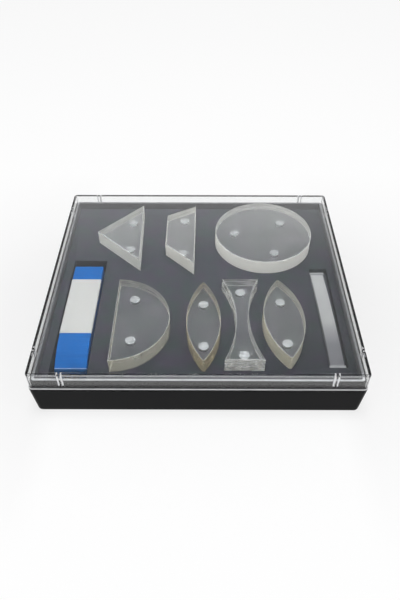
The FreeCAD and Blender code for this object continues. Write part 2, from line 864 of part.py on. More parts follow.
def slit_plate():
    y0 = slit_groove_y()
    z0 = lamp_wall + slit_plate_gap
    body = box(-slit_plate_width / 2, slit_plate_width / 2, y0, y0 + slit_plate_thickness, z0,
               z0 + slit_plate_height - 2 * slit_plate_gap)
    for i in range(slit_count):
        x = (i - (slit_count - 1) / 2) * slit_pitch
        body = body.cut(box(x - slit_width / 2, x + slit_width / 2, y0 - overrun, y0 + overrun,
                            optic_axis_height - slit_height / 2, optic_axis_height + slit_height / 2))
    return body


def cells():
    """Two cells side by side, pointing opposite ways, each with its nub at a contact plate."""
    solids = []
    for side, plate_y in ((1, back_contact_y), (-1, front_contact_y)):
        x = side * cell_pitch / 2
        end = plate_y - side * contact_gap
        shoulder = end - side * cell_nub_length
        tail = shoulder - side * cell_length
        nub = along_y(cell_nub_diameter / 2, min(end, shoulder), max(end, shoulder), x, cell_z)
        can = along_y(cell_diameter / 2, min(shoulder, tail), max(shoulder, tail), x, cell_z)
        solids.append(can.fuse(nub))
    return Part.makeCompound(solids)


def contact_plate(x, y0, y1, width, top):
    """An upright plate that stands on the cover or on the shell's floor."""
    z0 = lamp_wall + contact_foot_gap
    return box(x - width / 2, x + width / 2, y0, y1, z0, top)


def bridge_contact():
    """One wide plate that joins the two cells at the front."""
    y = front_contact_y
    return contact_plate(0, y - contact_thickness, y, cell_pitch + contact_width,
                         lamp_wall + contact_height)


def contact_tabs():
    """Two plates at the back, each with a tail up to the board."""
    y = back_contact_y
    plates = []
    for side in (-1, 1):
        x = side * cell_pitch / 2
        plate = contact_plate(x, y, y + contact_thickness, contact_width, lamp_wall + contact_height)
        tail = contact_plate(x, y, y + contact_thickness, contact_tail_width, board_height)
        plates.append(plate.fuse(tail).removeSplitter())
    return Part.makeCompound(plates)


def cone_spring():
    """A small conical wire spring that rises along Z from its wide end at z = 0."""
    rise = spring_length - spring_wire - 2 * contact_gap
    tip = spring_tip_diameter / 2
    lean = math.degrees(math.atan((spring_base_diameter - spring_tip_diameter) / 2 / rise))
    path = Part.makeLongHelix(rise / spring_turns, rise, tip, lean)
    ring = Part.Wire([Part.Circle(V(tip, 0, 0), V(0, 1, 0), spring_wire / 2).toShape()])
    body = Part.Wire(path.Edges).makePipeShell([ring], True, True)
    body.rotate(V(0, 0, 0), V(1, 0, 0), 180)
    body.translate(V(0, 0, rise + spring_wire / 2 + contact_gap))
    return body


def contact_springs():
    """The springs press on each cell's flat end."""
    springs = []
    for side, turn in ((-1, 90), (1, -90)):
        body = cone_spring()
        body.rotate(V(0, 0, 0), V(1, 0, 0), turn)
        body.translate(V(side * cell_pitch / 2, back_contact_y if side < 0 else front_contact_y, cell_z))
        springs.append(body)
    return Part.makeCompound(springs)


def screw(length, x, y, z):
    """A pan head screw with a cross slot, its head's outer face at z."""
    head = upright(screw_head_diameter / 2, 0, screw_head_height)
    shank = upright(screw_shank_diameter / 2, screw_head_height, screw_head_height + length)
    body = head.fuse(shank)
    reach = screw_slot_length / 2
    w = screw_slot_width / 2
    body = body.cut(box(-reach, reach, -w, w, -overrun, screw_slot_depth))
    body = body.cut(box(-w, w, -reach, reach, -overrun, screw_slot_depth))
    body.translate(V(x, y, z))
    return body


def battery_cover():
    body = cover_outline(0, 0, lamp_wall - cover_seat_gap)
    for edge, way in screw_tabs:
        y = cover_screw_y(edge, way)
        body = body.cut(upright(screw_shank_diameter / 2 + screw_gap, -overrun, lamp_wall, 0, y))
        body = body.cut(upright(screw_head_diameter / 2 + screw_gap, -overrun, screw_head_height, 0, y))
    return body


def cover_screws():
    shank = cover_screw_length - screw_head_height - screw_gap
    return Part.makeCompound([screw(shank, 0, cover_screw_y(edge, way), 0) for edge, way in screw_tabs])


def shell_screws():
    return Part.makeCompound([screw(shell_screw_length, x, y, shell_screw_recess) for x, y in boss_places])


def lamp_label():
    """A blank label over the flat top, wrapped a little way over the round side edges."""
    y1 = -label_back_inset
    y0 = y1 - label_length

    def skin(grow):
        half = lamp_width / 2 + grow
        bar = box(-half, half, y0, y1, 0, lamp_height + grow)
        tops = [e for e in bar.Edges if e.BoundBox.YLength > label_length / 2
                and e.BoundBox.ZMin > lamp_height / 2]
        return bar.makeFillet(lamp_side_round + grow, tops)

    sheet = skin(label_gap + label_thickness).cut(skin(label_gap))
    return sheet.common(above(lamp_height - label_wrap))


def make_lamp():
    pieces = {
        "lamp_top_shell": lamp_top_shell(),
        "lamp_bottom_shell": lamp_bottom_shell(),
        "lamp_label": lamp_label(),
        "lamp_battery_cover": battery_cover(),
        "lamp_cover_screws": cover_screws(),
        "lamp_shell_screws": shell_screws(),
        "lamp_cells": cells(),
        "lamp_bridge_contact": bridge_contact(),
        "lamp_contact_tabs": contact_tabs(),
        "lamp_contact_springs": contact_springs(),
        "lamp_circuit_board": circuit_board(),
        "lamp_tact_switch": tact_switch(),
        "lamp_switch_plunger": switch_plunger(),
        "lamp_power_button": power_button(),
        "lamp_led": led(),
        "lamp_collimating_lens": collimating_lens(),
        "lamp_slit_plate": slit_plate(),
    }
    for name, shape in pieces.items():
        export(name, placed(shape, lamp_x, lamp_back_y, lamp_floor, 0))


# Case

def base_tray():
    """Drafted walls with a round foot, a ledge for the lid and an upstanding lip."""
    foot_width = rim_width - 2 * foot_inset
    foot_depth = rim_depth - 2 * foot_inset
    body = frustum(foot_width, foot_depth, rim_width, rim_depth, 0, base_height)
    corners = [e for e in body.Edges if e.BoundBox.ZLength > base_height / 2]
    body = body.makeFillet(base_corner_round, corners)
    body = body.makeFillet(foot_round, edges_at(body, 0, base_floor / 2))
    body = body.makeFillet(base_edge_round, edges_at(body, base_height, base_floor / 2))
    outer = lid_wall + lip_gap
    lip_width = case_width - 2 * outer
    lip_depth = case_depth - 2 * outer
    lip_top = base_height + lip_rise
    body = body.fuse(rounded_block(lip_width, lip_depth, lip_corner_round, base_floor, lip_top))
    cavity = rounded_block(lip_width - 2 * lip_wall, lip_depth - 2 * lip_wall, cavity_corner_round,
                           base_floor, lip_top + overrun)
    body = body.cut(cavity)
    return body.makeFillet(lip_top_round, edges_at(body, lip_top, base_floor / 2))


def groove_places():
    """Eight places along the walls: x, y and the outward direction."""
    x = case_width / 2
    y = case_depth / 2
    d = groove_corner_distance
    places = []
    for side in (-1, 1):
        for end in (-1, 1):
            places.append((side * (x - d), end * y, 0, end))
            places.append((side * x, end * (y - d), side, 0))
    return places


def groove_cutter(x, y, dx, dy):
    """An upright capsule that bites into the wall's outer face and runs out through the top."""
    reach = groove_radius - groove_depth
    cx = x + dx * reach
    cy = y + dy * reach
    low = base_height + groove_rise + groove_radius
    return upright(groove_radius, low, case_height + overrun, cx, cy).fuse(
        Part.makeSphere(groove_radius, V(cx, cy, low)))


def groove_rib(x, y, dx, dy):
    """The matching rib inside the wall, which rubs on the base's lip."""
    depth = lip_gap - groove_rib_gap
    inner = lid_wall + depth / 2
    cx = x - dx * inner
    cy = y - dy * inner
    width = depth if dx else groove_rib_width
    height = groove_rib_width if dx else depth
    return centred_box(cx, cy, width, height, base_height + groove_rise, case_height - lid_top)


def clear_lid():
    outer = rounded_block(case_width, case_depth, lid_corner_round, base_height, case_height)
    outer = outer.makeFillet(lid_edge_round, edges_at(outer, case_height, lid_top / 2))
    rim_top = base_height + rim_height
    rim = rounded_block(rim_width, rim_depth, lid_corner_round + rim_proud, base_height, rim_top)
    rim = rim.makeFillet(rim_round, edges_at(rim, rim_top, rim_round / 2))
    body = outer.fuse(rim)
    hollow = rounded_block(case_width - 2 * lid_wall, case_depth - 2 * lid_wall,
                           lid_corner_round - lid_wall, base_height - overrun, case_height - lid_top)
    hollow = hollow.makeFillet(lid_inner_round, edges_at(hollow, case_height - lid_top, lid_top / 2))
    body = body.cut(hollow)
    for place in groove_places():
        body = body.fuse(groove_rib(*place))
    for place in groove_places():
        body = body.cut(groove_cutter(*place))
    return body.removeSplitter()


def main():
    os.makedirs("parts", exist_ok=True)
    export("base_tray", base_tray())
    export("clear_lid", clear_lid())
    export("foam_insert", foam_insert())
    make_blocks()
    make_mirror()
    make_lamp()
    print("case", round(rim_width, 2), round(rim_depth, 2), round(case_height, 2))


main()
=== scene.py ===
import math
from collections import namedtuple

import bmesh
import bpy
from bpy.props import FloatProperty, FloatVectorProperty, PointerProperty
from mathutils import Matrix, Vector


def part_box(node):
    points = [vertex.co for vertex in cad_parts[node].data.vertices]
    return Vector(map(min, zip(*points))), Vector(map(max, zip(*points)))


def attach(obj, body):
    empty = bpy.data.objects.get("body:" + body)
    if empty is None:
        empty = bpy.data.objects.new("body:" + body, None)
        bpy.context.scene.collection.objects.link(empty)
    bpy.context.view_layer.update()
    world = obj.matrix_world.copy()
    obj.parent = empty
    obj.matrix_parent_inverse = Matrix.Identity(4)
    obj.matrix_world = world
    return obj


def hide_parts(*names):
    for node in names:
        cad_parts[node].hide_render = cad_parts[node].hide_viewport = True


bl_info = {
    "name": "Boxed optics set",
    "version": (1, 0, 0),
    "blender": (4, 5, 0),
    "location": "3D View > Sidebar > Optics set",
    "description": "Finishes the case, foam, blocks, mirror and ray lamp of a boxed optics set",
    "category": "Object",
}

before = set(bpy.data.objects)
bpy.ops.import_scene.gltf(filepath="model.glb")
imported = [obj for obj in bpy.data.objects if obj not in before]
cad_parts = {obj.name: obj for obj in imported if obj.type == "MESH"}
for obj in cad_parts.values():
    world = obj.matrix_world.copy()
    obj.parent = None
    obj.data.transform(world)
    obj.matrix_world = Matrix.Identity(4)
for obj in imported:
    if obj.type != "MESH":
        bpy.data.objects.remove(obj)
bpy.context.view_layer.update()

MM = 0.001

BLACK = (0.0, 0.0, 0.0)
WHITE = (1.0, 1.0, 1.0)
ACRYLIC_INDEX = 1.49
LAMP_DIMMING = 0.94       # share of a lamp's light that a face of thin clear plastic passes
PATCH = 22.0 * MM         # width of the paler and duller patches of moulded plastic
GRAIN_DEPTH = 0.012 * MM  # depth of a mould's grain
LAMP_GRAIN = 0.3 * MM     # width of the grain on the lamp's small mouldings
RIPPLE_DEPTH = 0.02 * MM  # height of the slow ripples in clear plastic
UNEVEN = (0.92, 1.08)     # how far the colour of moulded plastic varies
CRISP = 0.1 * MM          # how gently the edge of a printed mark ends
SOFT = 0.2 * MM           # the same of a moulded one
BLURRED = 0.3 * MM        # and of a worn or broad one
SQUARE = (0.7, 0.1)       # how far a face has to point along an axis to count as square to it
SAME_HEIGHT = 0.01 * MM   # how near two corners of one level face lie in height
SAME_CORNER = 0.001 * MM  # how near the loose corners of a CAD mesh lie where they belong together

# How each optical block is cut: how far its sides scatter light outwards and inwards, how far its
# underside does, how strongly its sides give a painted glow, an emission that stands in for light
# led out from within, and the tint of its sides
Cut = namedtuple("Cut", "outward inward haze glow tint")
BLOCKS = {
    "triangle_prism": Cut(0.30, 0.42, 0.13, 0.0, (0.96, 0.96, 0.91)),
    "trapezoid_prism": Cut(0.95, 0.42, 0.14, 0.10, (0.98, 0.97, 0.91)),
    "round_disc": Cut(1.0, 0.38, 0.085, 0.15, (0.99, 0.985, 0.935)),
    "semicircle_lens": Cut(0.05, 0.19, 0.0, 0.0, (0.86, 0.83, 0.69)),
    "thin_biconvex_lens": Cut(0.18, 0.24, 0.0, 0.0, (0.82, 0.70, 0.44)),
    "biconcave_lens": Cut(0.2, 0.18, 0.02, 0.0, (0.97, 0.97, 0.94)),
    "thick_biconvex_lens": Cut(0.18, 0.22, 0.04, 0.0, (0.87, 0.82, 0.63)),
}

HAZE_ROUGHENS = 2.5  # how much rougher the sides of the hazier blocks are

# How bright the studio is, from straight below (0) past the horizon (0.5) to straight above (1)
SKY = ((0.0, 1.0), (0.57, 1.0), (0.65, 0.42), (0.73, 0.46), (0.78, 0.25), (1.0, 0.24))


def colour(name, description, default):
    return FloatVectorProperty(name=name, description=description, default=default,
                               subtype="COLOR", size=3, min=0.0, max=1.0)


def share(name, description, default):
    return FloatProperty(name=name, description=description, default=default, subtype="FACTOR",
                         min=0.0, max=1.0)


def length(name, description, default):
    return FloatProperty(name=name, description=description, default=default, subtype="DISTANCE",
                         unit="LENGTH", precision=5)


def place(name, description, default):
    return FloatVectorProperty(name=name, description=description, default=default,
                               subtype="TRANSLATION", unit="LENGTH", size=3)


def angle(name, description, degrees):
    return FloatProperty(name=name, description=description, default=math.radians(degrees),
                         subtype="ANGLE", unit="ROTATION")


def refraction(name, description):
    return FloatProperty(name=name, description=description, default=ACRYLIC_INDEX,
                         min=1.0, max=2.0)


class CaseLooks(bpy.types.PropertyGroup):
    """Finish of the black tray and the clear lid"""

    tray_colour: colour("Tray", "Colour of the tray's black plastic", (0.003, 0.0032, 0.0038))
    tray_roughness: share("Tray roughness", "Roughness of the tray's plastic", 0.40)
    tray_shine: share("Tray shine", "Specular level of the tray's plastic", 0.06)
    tray_grain: length("Tray grain", "Width of the tray's moulded grain", 0.35 * MM)
    # Painted highlight: the lip's pale upper edge, fullest along the front, fainter beside and
    # behind, in patches
    lip_highlight_colour: colour("Lip scuff", "Colour of the lip's scuffed upper edge", (0.44, 0.45, 0.465))
    lip_highlight_height: length("Scuff height", "How far the scuff reaches down", 0.5 * MM)
    lip_highlight_fade: share("Scuff fade", "How much fainter the scuff is beside and behind", 0.6)
    front_lip: length("Front lip", "How far back the full scuff of the front reaches", 8.0 * MM)
    highlight_patch: length("Wear patch", "Width of a more worn patch of the lip", 9.0 * MM)
    # Painted light: the lip's inner faces are painted paler than black, palest on the side faces
    lip_inside_painted_light: colour("Lip inside", "Colour of the tray inside its lip", (0.06, 0.064, 0.07))
    lip_beside_painted_light: colour("Lip beside", "Colour of the lip's inner faces at the sides",
                       (0.15, 0.155, 0.165))
    lid_tint: colour("Lid tint", "Tint of the clear plastic", (0.985, 0.99, 0.99))
    lid_index: refraction("Lid index", "Refractive index of the lid's plastic")
    lid_ripple: length("Lid ripple", "Width of the slow ripples in the moulded lid", 26.0 * MM)
    # Painted highlights and painted shade lines in the lid
    lid_highlight_colour: colour("Lid glow", "Colour of the light that the lid's edges scatter",
                     (0.95, 0.955, 0.97))
    lid_shade: colour("Lid shade", "Colour of the dark lines in the lid", (0.01, 0.01, 0.012))
    # Painted highlights: a line on the rim bead and on the upright rounded edges
    bead_low: length("Bead low", "Height over the lid's foot where its light line starts", 1.8 * MM)
    bead_high: length("Bead high", "Height where that line ends", 2.45 * MM)
    bead_highlight: share("Bead light", "How much light that line scatters", 0.6)
    upright_highlight: share("Edge light", "How much light the upright rounded edges scatter", 0.6)
    # Painted shade over and under the bead's highlight line
    seam_high: length("Seam high", "Height where the dark seam over the light line ends", 4.6 * MM)
    seam_shade: share("Seam darkness", "How dark the seam over and under the light line is", 0.65)
    # Painted highlights on the grip grooves' edges
    groove_place: length("Groove place", "From the grip grooves to the lid's corners", 25.8 * MM)
    groove_half: length("Groove half width", "From a groove's middle to its edges", 1.55 * MM)
    groove_foot: length("Groove foot", "Height over the lid's foot where they begin", 6.0 * MM)
    stroke_half: length("Stroke half width", "Half the width of a groove's light edge", 0.5 * MM)
    wall_reach: length("Wall reach", "Depth of lid from its outside that holds a wall", 3.0 * MM)
    wall_skin: length("Wall skin", "Depth of side wall from its outside that stays clear", 1.6 * MM)
    groove_highlight: share("Groove light", "How much light the grooves' edges scatter", 0.8)
    # Painted shade on the rounded top edges and on the side walls at a slant
    crown_depth: length("Crown depth", "How far down the rounded top edges reach", 2.2 * MM)
    outline_shade: share("Outline darkness", "How dark the top edges at the sides look", 0.8)
    brow_shade: share("Brow darkness", "How dark the front and back top edges begin", 0.3)
    wall_shade: share("Wall darkness", "How dark the side walls are at a slant beside the lip", 0.9)


class FoamLooks(bpy.types.PropertyGroup):
    """Shape and finish of the foam insert"""

    foam_colour: colour("Foam", "Colour of the foam", (0.0455, 0.0505, 0.059))
    foam_roughness: share("Foam roughness", "Roughness of the foam", 0.92)
    foam_shine: share("Foam shine", "Specular level of the foam", 0.25)
    # Painted shade towards the foam's right front corner
    foam_corner_shade: share("Foam fade", "How much darker the foam is at its right front corner", 0.56)
    foam_patch: length("Foam patch", "Width of a paler patch of foam", 9.0 * MM)
    hue_patch: length("Hue patch", "Width of a patch that leans to purple or green", 16.0 * MM)
    edge_round: length("Cut edge", "Rounding of the foam's cut edges", 0.45 * MM)
    cut_angle: angle("Cut angle", "How far an edge has to turn to be rounded", 30.0)
    cell_size: length("Foam cell", "Width of a foam cell", 0.55 * MM)
    cell_depth: length("Cell depth", "Depth of a foam cell", 0.09 * MM)
    pocket_give: length("Pocket give", "How far the pocket floors lie under the blocks", 0.12 * MM)


class BlockLooks(bpy.types.PropertyGroup):
    """Finish of the acrylic blocks and their magnets"""

    block_tint: colour("Block tint", "Tint of the blocks' polished faces", (0.985, 0.99, 0.985))
    block_index: refraction("Block index", "Refractive index of the acrylic")
    block_pass: colour("Block pass", "Lamp light that a block's face passes", (0.9, 0.9, 0.88))
    haze_colour: colour("Haze", "Colour of the light that the undersides scatter",
                        (0.86, 0.87, 0.88))
    underside_frost: share("Underside frost", "Scale of the undersides' scattered light", 1.0)
    underside_roughness: share("Underside roughness", "Roughness of the undersides", 0.3)
    haze_patch: length("Haze patch", "Width of a hazier patch on an underside", 22.0 * MM)
    haze_contrast: share("Haze contrast", "How far those patches change the haze", 0.16)
    side_roughness: share("Side roughness", "Roughness of the blocks' cut sides", 0.22)
    saw_pitch: length("Saw pitch", "Height of a saw streak on the blocks' sides", 1.6 * MM)
    saw_reach: length("Saw reach", "Length of a saw streak", 14.0 * MM)
    saw_depth: length("Saw depth", "Depth of a saw streak", 0.03 * MM)
    streak_contrast: share("Streak contrast", "How far the saw streaks change the frost", 0.9)
    sheen_patch: length("Sheen patch", "Width of a paler patch on the sides", 24.0 * MM)
    sheen_contrast: share("Sheen contrast", "How far those patches change the sides' frost", 0.6)
    # Painted highlights: pale lines along the sides' top and bottom edges
    rim_highlight_width: length("Brim", "Height of the pale lines along top and bottom edges", 0.5 * MM)
    rim_highlight_share: share("Brim light", "How much light those lines scatter", 0.85)
    bore_reach: length("Bore reach", "How far round a magnet's middle the block is clear", 4.8 * MM)
    magnet_colour: colour("Magnet", "Colour of the nickel plated magnets", (0.76, 0.79, 0.82))
    magnet_mottle: length("Magnet mottle", "Width of a mottle on the plating", 1.6 * MM)
    magnet_roughness: share("Magnet roughness", "Roughness of the plating", 0.44)
    # A ring painted darker in colour on each magnet
    magnet_ring: length("Magnet ring", "Radius of the dull ring on a magnet", 2.3 * MM)
    ring_half: length("Ring half width", "Half the width of that ring", 0.5 * MM)
    ring_darkening: share("Ring dulling", "How dull that ring is", 0.45)


class MirrorLooks(bpy.types.PropertyGroup):
    """Finish of the mirror strip"""

    carrier_tint: colour("Carrier", "Tint of the clear strip over the film", (0.97, 0.985, 0.98))
    carrier_pass: colour("Carrier pass", "Lamp light that its faces pass", (0.9, 0.9, 0.9))
    carrier_ripple: length("Carrier ripple", "Width of the slow ripples in it", 18.0 * MM)
    # Painted highlight on the strip's ends beyond the film
    ends_highlight_colour: colour("Carrier ends", "Colour of its ends beyond the film", (0.5, 0.51, 0.52))
    ends_highlight: share("Ends light", "How much light those ends scatter", 0.45)
    film_colour: colour("Film", "Colour of the silvered film", (0.88, 0.885, 0.89))
    film_roughness: share("Film roughness", "Roughness of the silvered film", 0.13)
    film_satin: share("Film satin", "How much of the film's light is scattered", 0.85)
    satin_loss: share("Satin loss", "How much darker the scattered light is", 0.47)
    satin_dark: colour("Satin dark", "Colour towards which it darkens", (0.0, 0.0, 0.01))
    # Painted shade towards the film's front end
    film_front_shade: share("Film fade", "How much darker the film is at the strip's front end", 0.52)
    front_shade_colour: colour("Fade colour", "Colour towards which it darkens there", (0.0, 0.0, 0.05))
    fade_place: length("Fade place", "From the film's front end to the fade's middle", 33.0 * MM)
    fade_width: length("Fade width", "Length of strip that the fade takes", 24.0 * MM)
    cloud_patch: length("Film cloud", "Width of a paler patch of the film", 12.0 * MM)
    streak_width: length("Streak", "Width of a lengthwise streak in the film", 0.9 * MM)


class LampLooks(bpy.types.PropertyGroup):
    """Finish of the ray lamp and what it holds"""

    body_colour: colour("Body", "Colour of the lamp's shells", (0.0, 0.105, 0.375))
    body_roughness: share("Body roughness", "Roughness of the lamp's shells", 0.38)
    body_shine: share("Body shine", "Specular level of the lamp's shells", 0.06)
    body_streak: length("Body streak", "Width of a streak across the shells", 1.4 * MM)
    body_grain: length("Body grain", "Width of the shells' moulded grain", 0.4 * MM)
    # Painted shade on the nose's foot, and a painted highlight line behind it
    nose_shade: length("Dull nose", "How far the dull foot of the nose reaches back", 1.9 * MM)
    nose_shade_colour: colour("Dull", "Colour of that dull foot", (0.012, 0.05, 0.11))
    nose_shade_share: share("Dulling", "How far the foot takes that colour", 0.75)
    nose_highlight: length("Nose line", "Width of the light line behind it", 0.6 * MM)
    nose_highlight_colour: colour("Line", "Colour of that light line", (0.6, 0.7, 0.8))
    nose_highlight_share: share("Line strength", "How far the line takes that colour", 0.35)
    label_colour: colour("Label", "Colour of the blank label", (0.478, 0.483, 0.473))
    label_roughness: share("Label roughness", "Roughness of the label's film", 0.47)
    label_fibre: length("Label fibre", "Width of a fibre in the label", 0.4 * MM)
    label_cloud: length("Label cloud", "Width of a paler patch of the label", 16.0 * MM)
    button_colour: colour("Button", "Colour of the power button", (0.03, 0.03, 0.035))
    jacket_colour: colour("Cell jacket", "Colour of the cells' jackets", (0.045, 0.05, 0.075))
    can_colour: colour("Cell can", "Colour of the cells' bare cans", (0.66, 0.66, 0.65))
    can_end: length("Can end", "How far a bare can shows beyond its jacket", 3.2 * MM)
    board_colour: colour("Board", "Colour of the board's resist", (0.015, 0.11, 0.045))
    track_pitch: length("Track pitch", "From a copper track to the next", 3.2 * MM)
    track_width: length("Track width", "Width of a copper track", 1.0 * MM)
    steel_colour: colour("Steel", "Colour of the cells' contacts", (0.6, 0.6, 0.57))
    zinc_colour: colour("Zinc", "Colour of the screws", (0.42, 0.42, 0.43))
    black_colour: colour("Black", "Colour of the switch and the slit plate", (0.015, 0.015, 0.016))
    plunger_colour: colour("Plunger", "Colour of the switch's plunger", (0.62, 0.6, 0.52))
    lens_tint: colour("Lens tint", "Tint of the collimating lens", (0.97, 0.98, 0.98))
    epoxy_colour: colour("Epoxy", "Colour of the diode's epoxy", (0.9, 0.88, 0.72))
    lead_colour: colour("Leads", "Colour of the diode's tinned leads", (0.6, 0.6, 0.58))
    lead_place: length("Lead place", "Height over the diode's foot where its leads begin", 6.2 * MM)


class StageLooks(bpy.types.PropertyGroup):
    """Floor, light and camera"""

    floor_colour: colour("Floor", "Colour of the floor", (0.96, 0.96, 0.965))
    floor_glow: share("Floor glow", "Share of plain white that the camera sees in the floor", 0.8)
    floor_size: length("Floor size", "Length of the floor's sides", 9.0)
    cloud_width: length("Cloud width", "Width of the paper's paler patches", 0.6)
    # Painted shadow on the floor beside the case
    side_shadow: share("Side dimming", "How much dimmer the floor is beside the case", 0.12)
    far_shadow: share("Far dimming", "How much of that is left further out", 0.3)
    shadow_inside: length("Dimming inside", "From the middle to where the dimming begins", 0.12)
    shadow_outside: length("Dimming outside", "From the middle to where it has faded", 0.2)
    shadow_depth: length("Dimming depth", "How far it reaches to the front and the back", 0.13)
    softbox_size: length("Softbox", "Length of the softbox's sides", 0.45)
    softbox_place: place("Softbox place", "Where the softbox hangs", (0.0, -0.05, 1.15))
    softbox_power: FloatProperty(name="Softbox power", description="Power of the softbox in watts",
                                 default=6.6, min=0.0)
    camera_place: place("Camera", "Where the camera stands", (0.002452, -0.371405, 0.377446))
    camera_down: angle("Camera pitch", "How far the camera looks down", 44.632)
    camera_turn: angle("Camera yaw", "How far the camera turns to its left", 0.223)
    camera_lens: FloatProperty(name="Focal length", default=34.11, subtype="DISTANCE_CAMERA",
                               unit="CAMERA", description="Focal length for a 36 mm long side")


class Value:
    """A node's output in a material, with arithmetic that adds Math nodes."""

    def __init__(self, nodes, socket):
        self.nodes = nodes
        self.socket = socket

    def math(self, operation, *values, clamp=False):
        return self.nodes.math(operation, self, *values, clamp=clamp)

    def __add__(self, other):
        return self.math("ADD", other)

    def __sub__(self, other):
        return self.math("SUBTRACT", other)

    def __mul__(self, other):
        return self.math("MULTIPLY", other)

    def __rsub__(self, other):
        return self.nodes.math("SUBTRACT", other, self)

    def __or__(self, other):
        """The stronger of two masks."""
        return self.math("MAXIMUM", other)

    def __and__(self, other):
        """The weaker of two masks."""
        return self.math("MINIMUM", other)

    def __abs__(self):
        return self.math("ABSOLUTE")

    __radd__ = __add__
    __rmul__ = __mul__

    def over(self, edge, width):
        """A mask that rises from 0 to 1 across an edge."""
        return self.math("SUBTRACT", edge - width / 2).math("DIVIDE", width, clamp=True)

    def between(self, low, high, width):
        """A mask that is 1 between two edges."""
        return self.over(low, width) * (1 - self.over(high, width))

    def about(self, mean, swing):
        """A noise that lies about a half, made to swing about a mean."""
        return self * swing + (mean - swing / 2)


class Nodes:
    """The nodes of one material, or of the world."""

    def __init__(self, owner):
        owner.use_nodes = True
        self.tree = owner.node_tree
        self.tree.nodes.clear()

    def node(self, kind, settings=None, sockets=None, output=0):
        """Adds a node of a type, with its settings first and then its sockets' values or links."""
        made = self.tree.nodes.new(kind)
        for name, value in (settings or {}).items():
            if name == "stops":
                ramp = made.color_ramp.elements
                for position, _ in value[2:]:
                    ramp.new(position)
                for element, (position, level) in zip(ramp, value):
                    element.position = position
                    element.color = (level, level, level, 1.0)
            else:
                setattr(made, name, value)
        for name, value in (sockets or {}).items():
            if isinstance(value, Value):
                self.tree.links.new(value.socket, made.inputs[name])
            elif made.inputs[name].type == "RGBA":
                made.inputs[name].default_value = (*value, 1.0)
            else:
                made.inputs[name].default_value = value
        return Value(self, made.outputs[output]) if made.outputs else None

    def math(self, operation, *values, clamp=False):
        return self.node("ShaderNodeMath", {"operation": operation, "use_clamp": clamp},
                         dict(enumerate(values)))

    def mix(self, factor, first, second, blend="MIX"):
        """A colour between two."""
        return self.node("ShaderNodeMix", {"data_type": "RGBA", "blend_type": blend},
                         {0: factor, 6: first, 7: second}, 2)

    def vary(self, factor, tint, low, high):
        """A colour between two levels of itself."""
        return self.mix(factor, scaled(tint, low), scaled(tint, high))

    def axis(self, kind, output, name):
        """One axis of a node's vector."""
        vector = self.node(kind, output=output)
        return self.node("ShaderNodeSeparateXYZ", sockets={0: vector}, output=name)

    def along(self, name):
        """The object's own X, Y or Z."""
        return self.axis("ShaderNodeTexCoord", "Object", name)

    def facing(self, name):
        """How far a face points along an axis, either way."""
        return abs(self.axis("ShaderNodeNewGeometry", "True Normal", name))

    def square_to(self, name):
        """A mask of the faces that point along an axis, either way."""
        return self.facing(name).over(*SQUARE)

    def within(self):
        """Whether light meets a face from inside the plastic."""
        return self.node("ShaderNodeNewGeometry", output="Backfacing")

    def coordinates(self, stretch=(1.0, 1.0, 1.0)):
        vector = self.node("ShaderNodeTexCoord", output="Object")
        return self.node("ShaderNodeMapping", sockets={"Vector": vector, "Scale": stretch})

    def noise(self, size, detail, stretch=(1.0, 1.0, 1.0)):
        """Noise about a half, with blotches of a size."""
        return self.node("ShaderNodeTexNoise", sockets={
            "Vector": self.coordinates(stretch), "Scale": 1.0 / size, "Detail": detail})

    def cells(self, size):
        """The distance from the middle of the nearest of many small cells."""
        return self.node("ShaderNodeTexVoronoi", sockets={
            "Vector": self.coordinates(), "Scale": 1.0 / size})

    def bump(self, height, depth):
        """A normal from a height between 0 and 1."""
        return self.node("ShaderNodeBump", sockets={
            "Height": height, "Distance": depth, "Strength": 1.0})

    def principled(self, **sockets):
        named = {name.replace("_", " "): value for name, value in sockets.items()}
        return self.node("ShaderNodeBsdfPrincipled", sockets=named)

    def diffuse(self, shade):
        return self.node("ShaderNodeBsdfDiffuse", sockets={"Color": shade})

    def moulded(self, shade, patches, grain, roughness, shine):
        """Plastic with a mould's fine grain, uneven in shine where it is uneven in colour."""
        return self.principled(Base_Color=shade, Roughness=patches.about(roughness, 0.12),
                               Specular_IOR_Level=shine,
                               Normal=self.bump(self.noise(grain, 1.0), GRAIN_DEPTH))

    def clear(self, tint, index, ripple):
        """Clear moulded plastic with slow ripples that break its reflections a little."""
        return self.principled(Base_Color=tint, Roughness=0.0, IOR=index, Transmission_Weight=1.0,
                               Normal=self.bump(self.noise(ripple, 1.0), RIPPLE_DEPTH))

    def between(self, factor, first, second):
        """A shader between two."""
        return self.node("ShaderNodeMixShader", sockets={0: factor, 1: first, 2: second})

    def let_lamps_through(self, body, tint):
        """Clear plastic that light from the lamps crosses unbent."""
        lamp_ray = self.node("ShaderNodeLightPath", output="Is Shadow Ray")
        passing = self.node("ShaderNodeBsdfTransparent", sockets={"Color": tint})
        return self.between(lamp_ray, body, passing)

    def finish(self, shader):
        self.node("ShaderNodeOutputMaterial", sockets={"Surface": shader})


def new_material(name):
    material = bpy.data.materials.new(name)
    return material, Nodes(material)


def scaled(tint, level):
    return tuple(min(1.0, channel * level) for channel in tint)


def moulded_plastic(name, tint, roughness):
    """Moulded plastic with a fine grain, slightly uneven in colour and shine."""
    material, nodes = new_material(name)
    patches = nodes.noise(PATCH, 3.0)
    shade = nodes.vary(patches, tint, *UNEVEN)
    nodes.finish(nodes.moulded(shade, patches, LAMP_GRAIN, roughness, 0.5))
    return material


def bare_metal(name, tint, roughness, scratch):
    """Metal with fine scratches and a little dulling."""
    material, nodes = new_material(name)
    scratches = nodes.noise(scratch, 3.0)
    shade = nodes.vary(nodes.noise(4.0 * MM, 2.0), tint, 0.88, 1.06)
    nodes.finish(nodes.principled(Base_Color=shade, Metallic=1.0,
                                  Roughness=scratches.about(roughness, 0.2),
                                  Normal=nodes.bump(scratches, 0.008 * MM)))
    return material


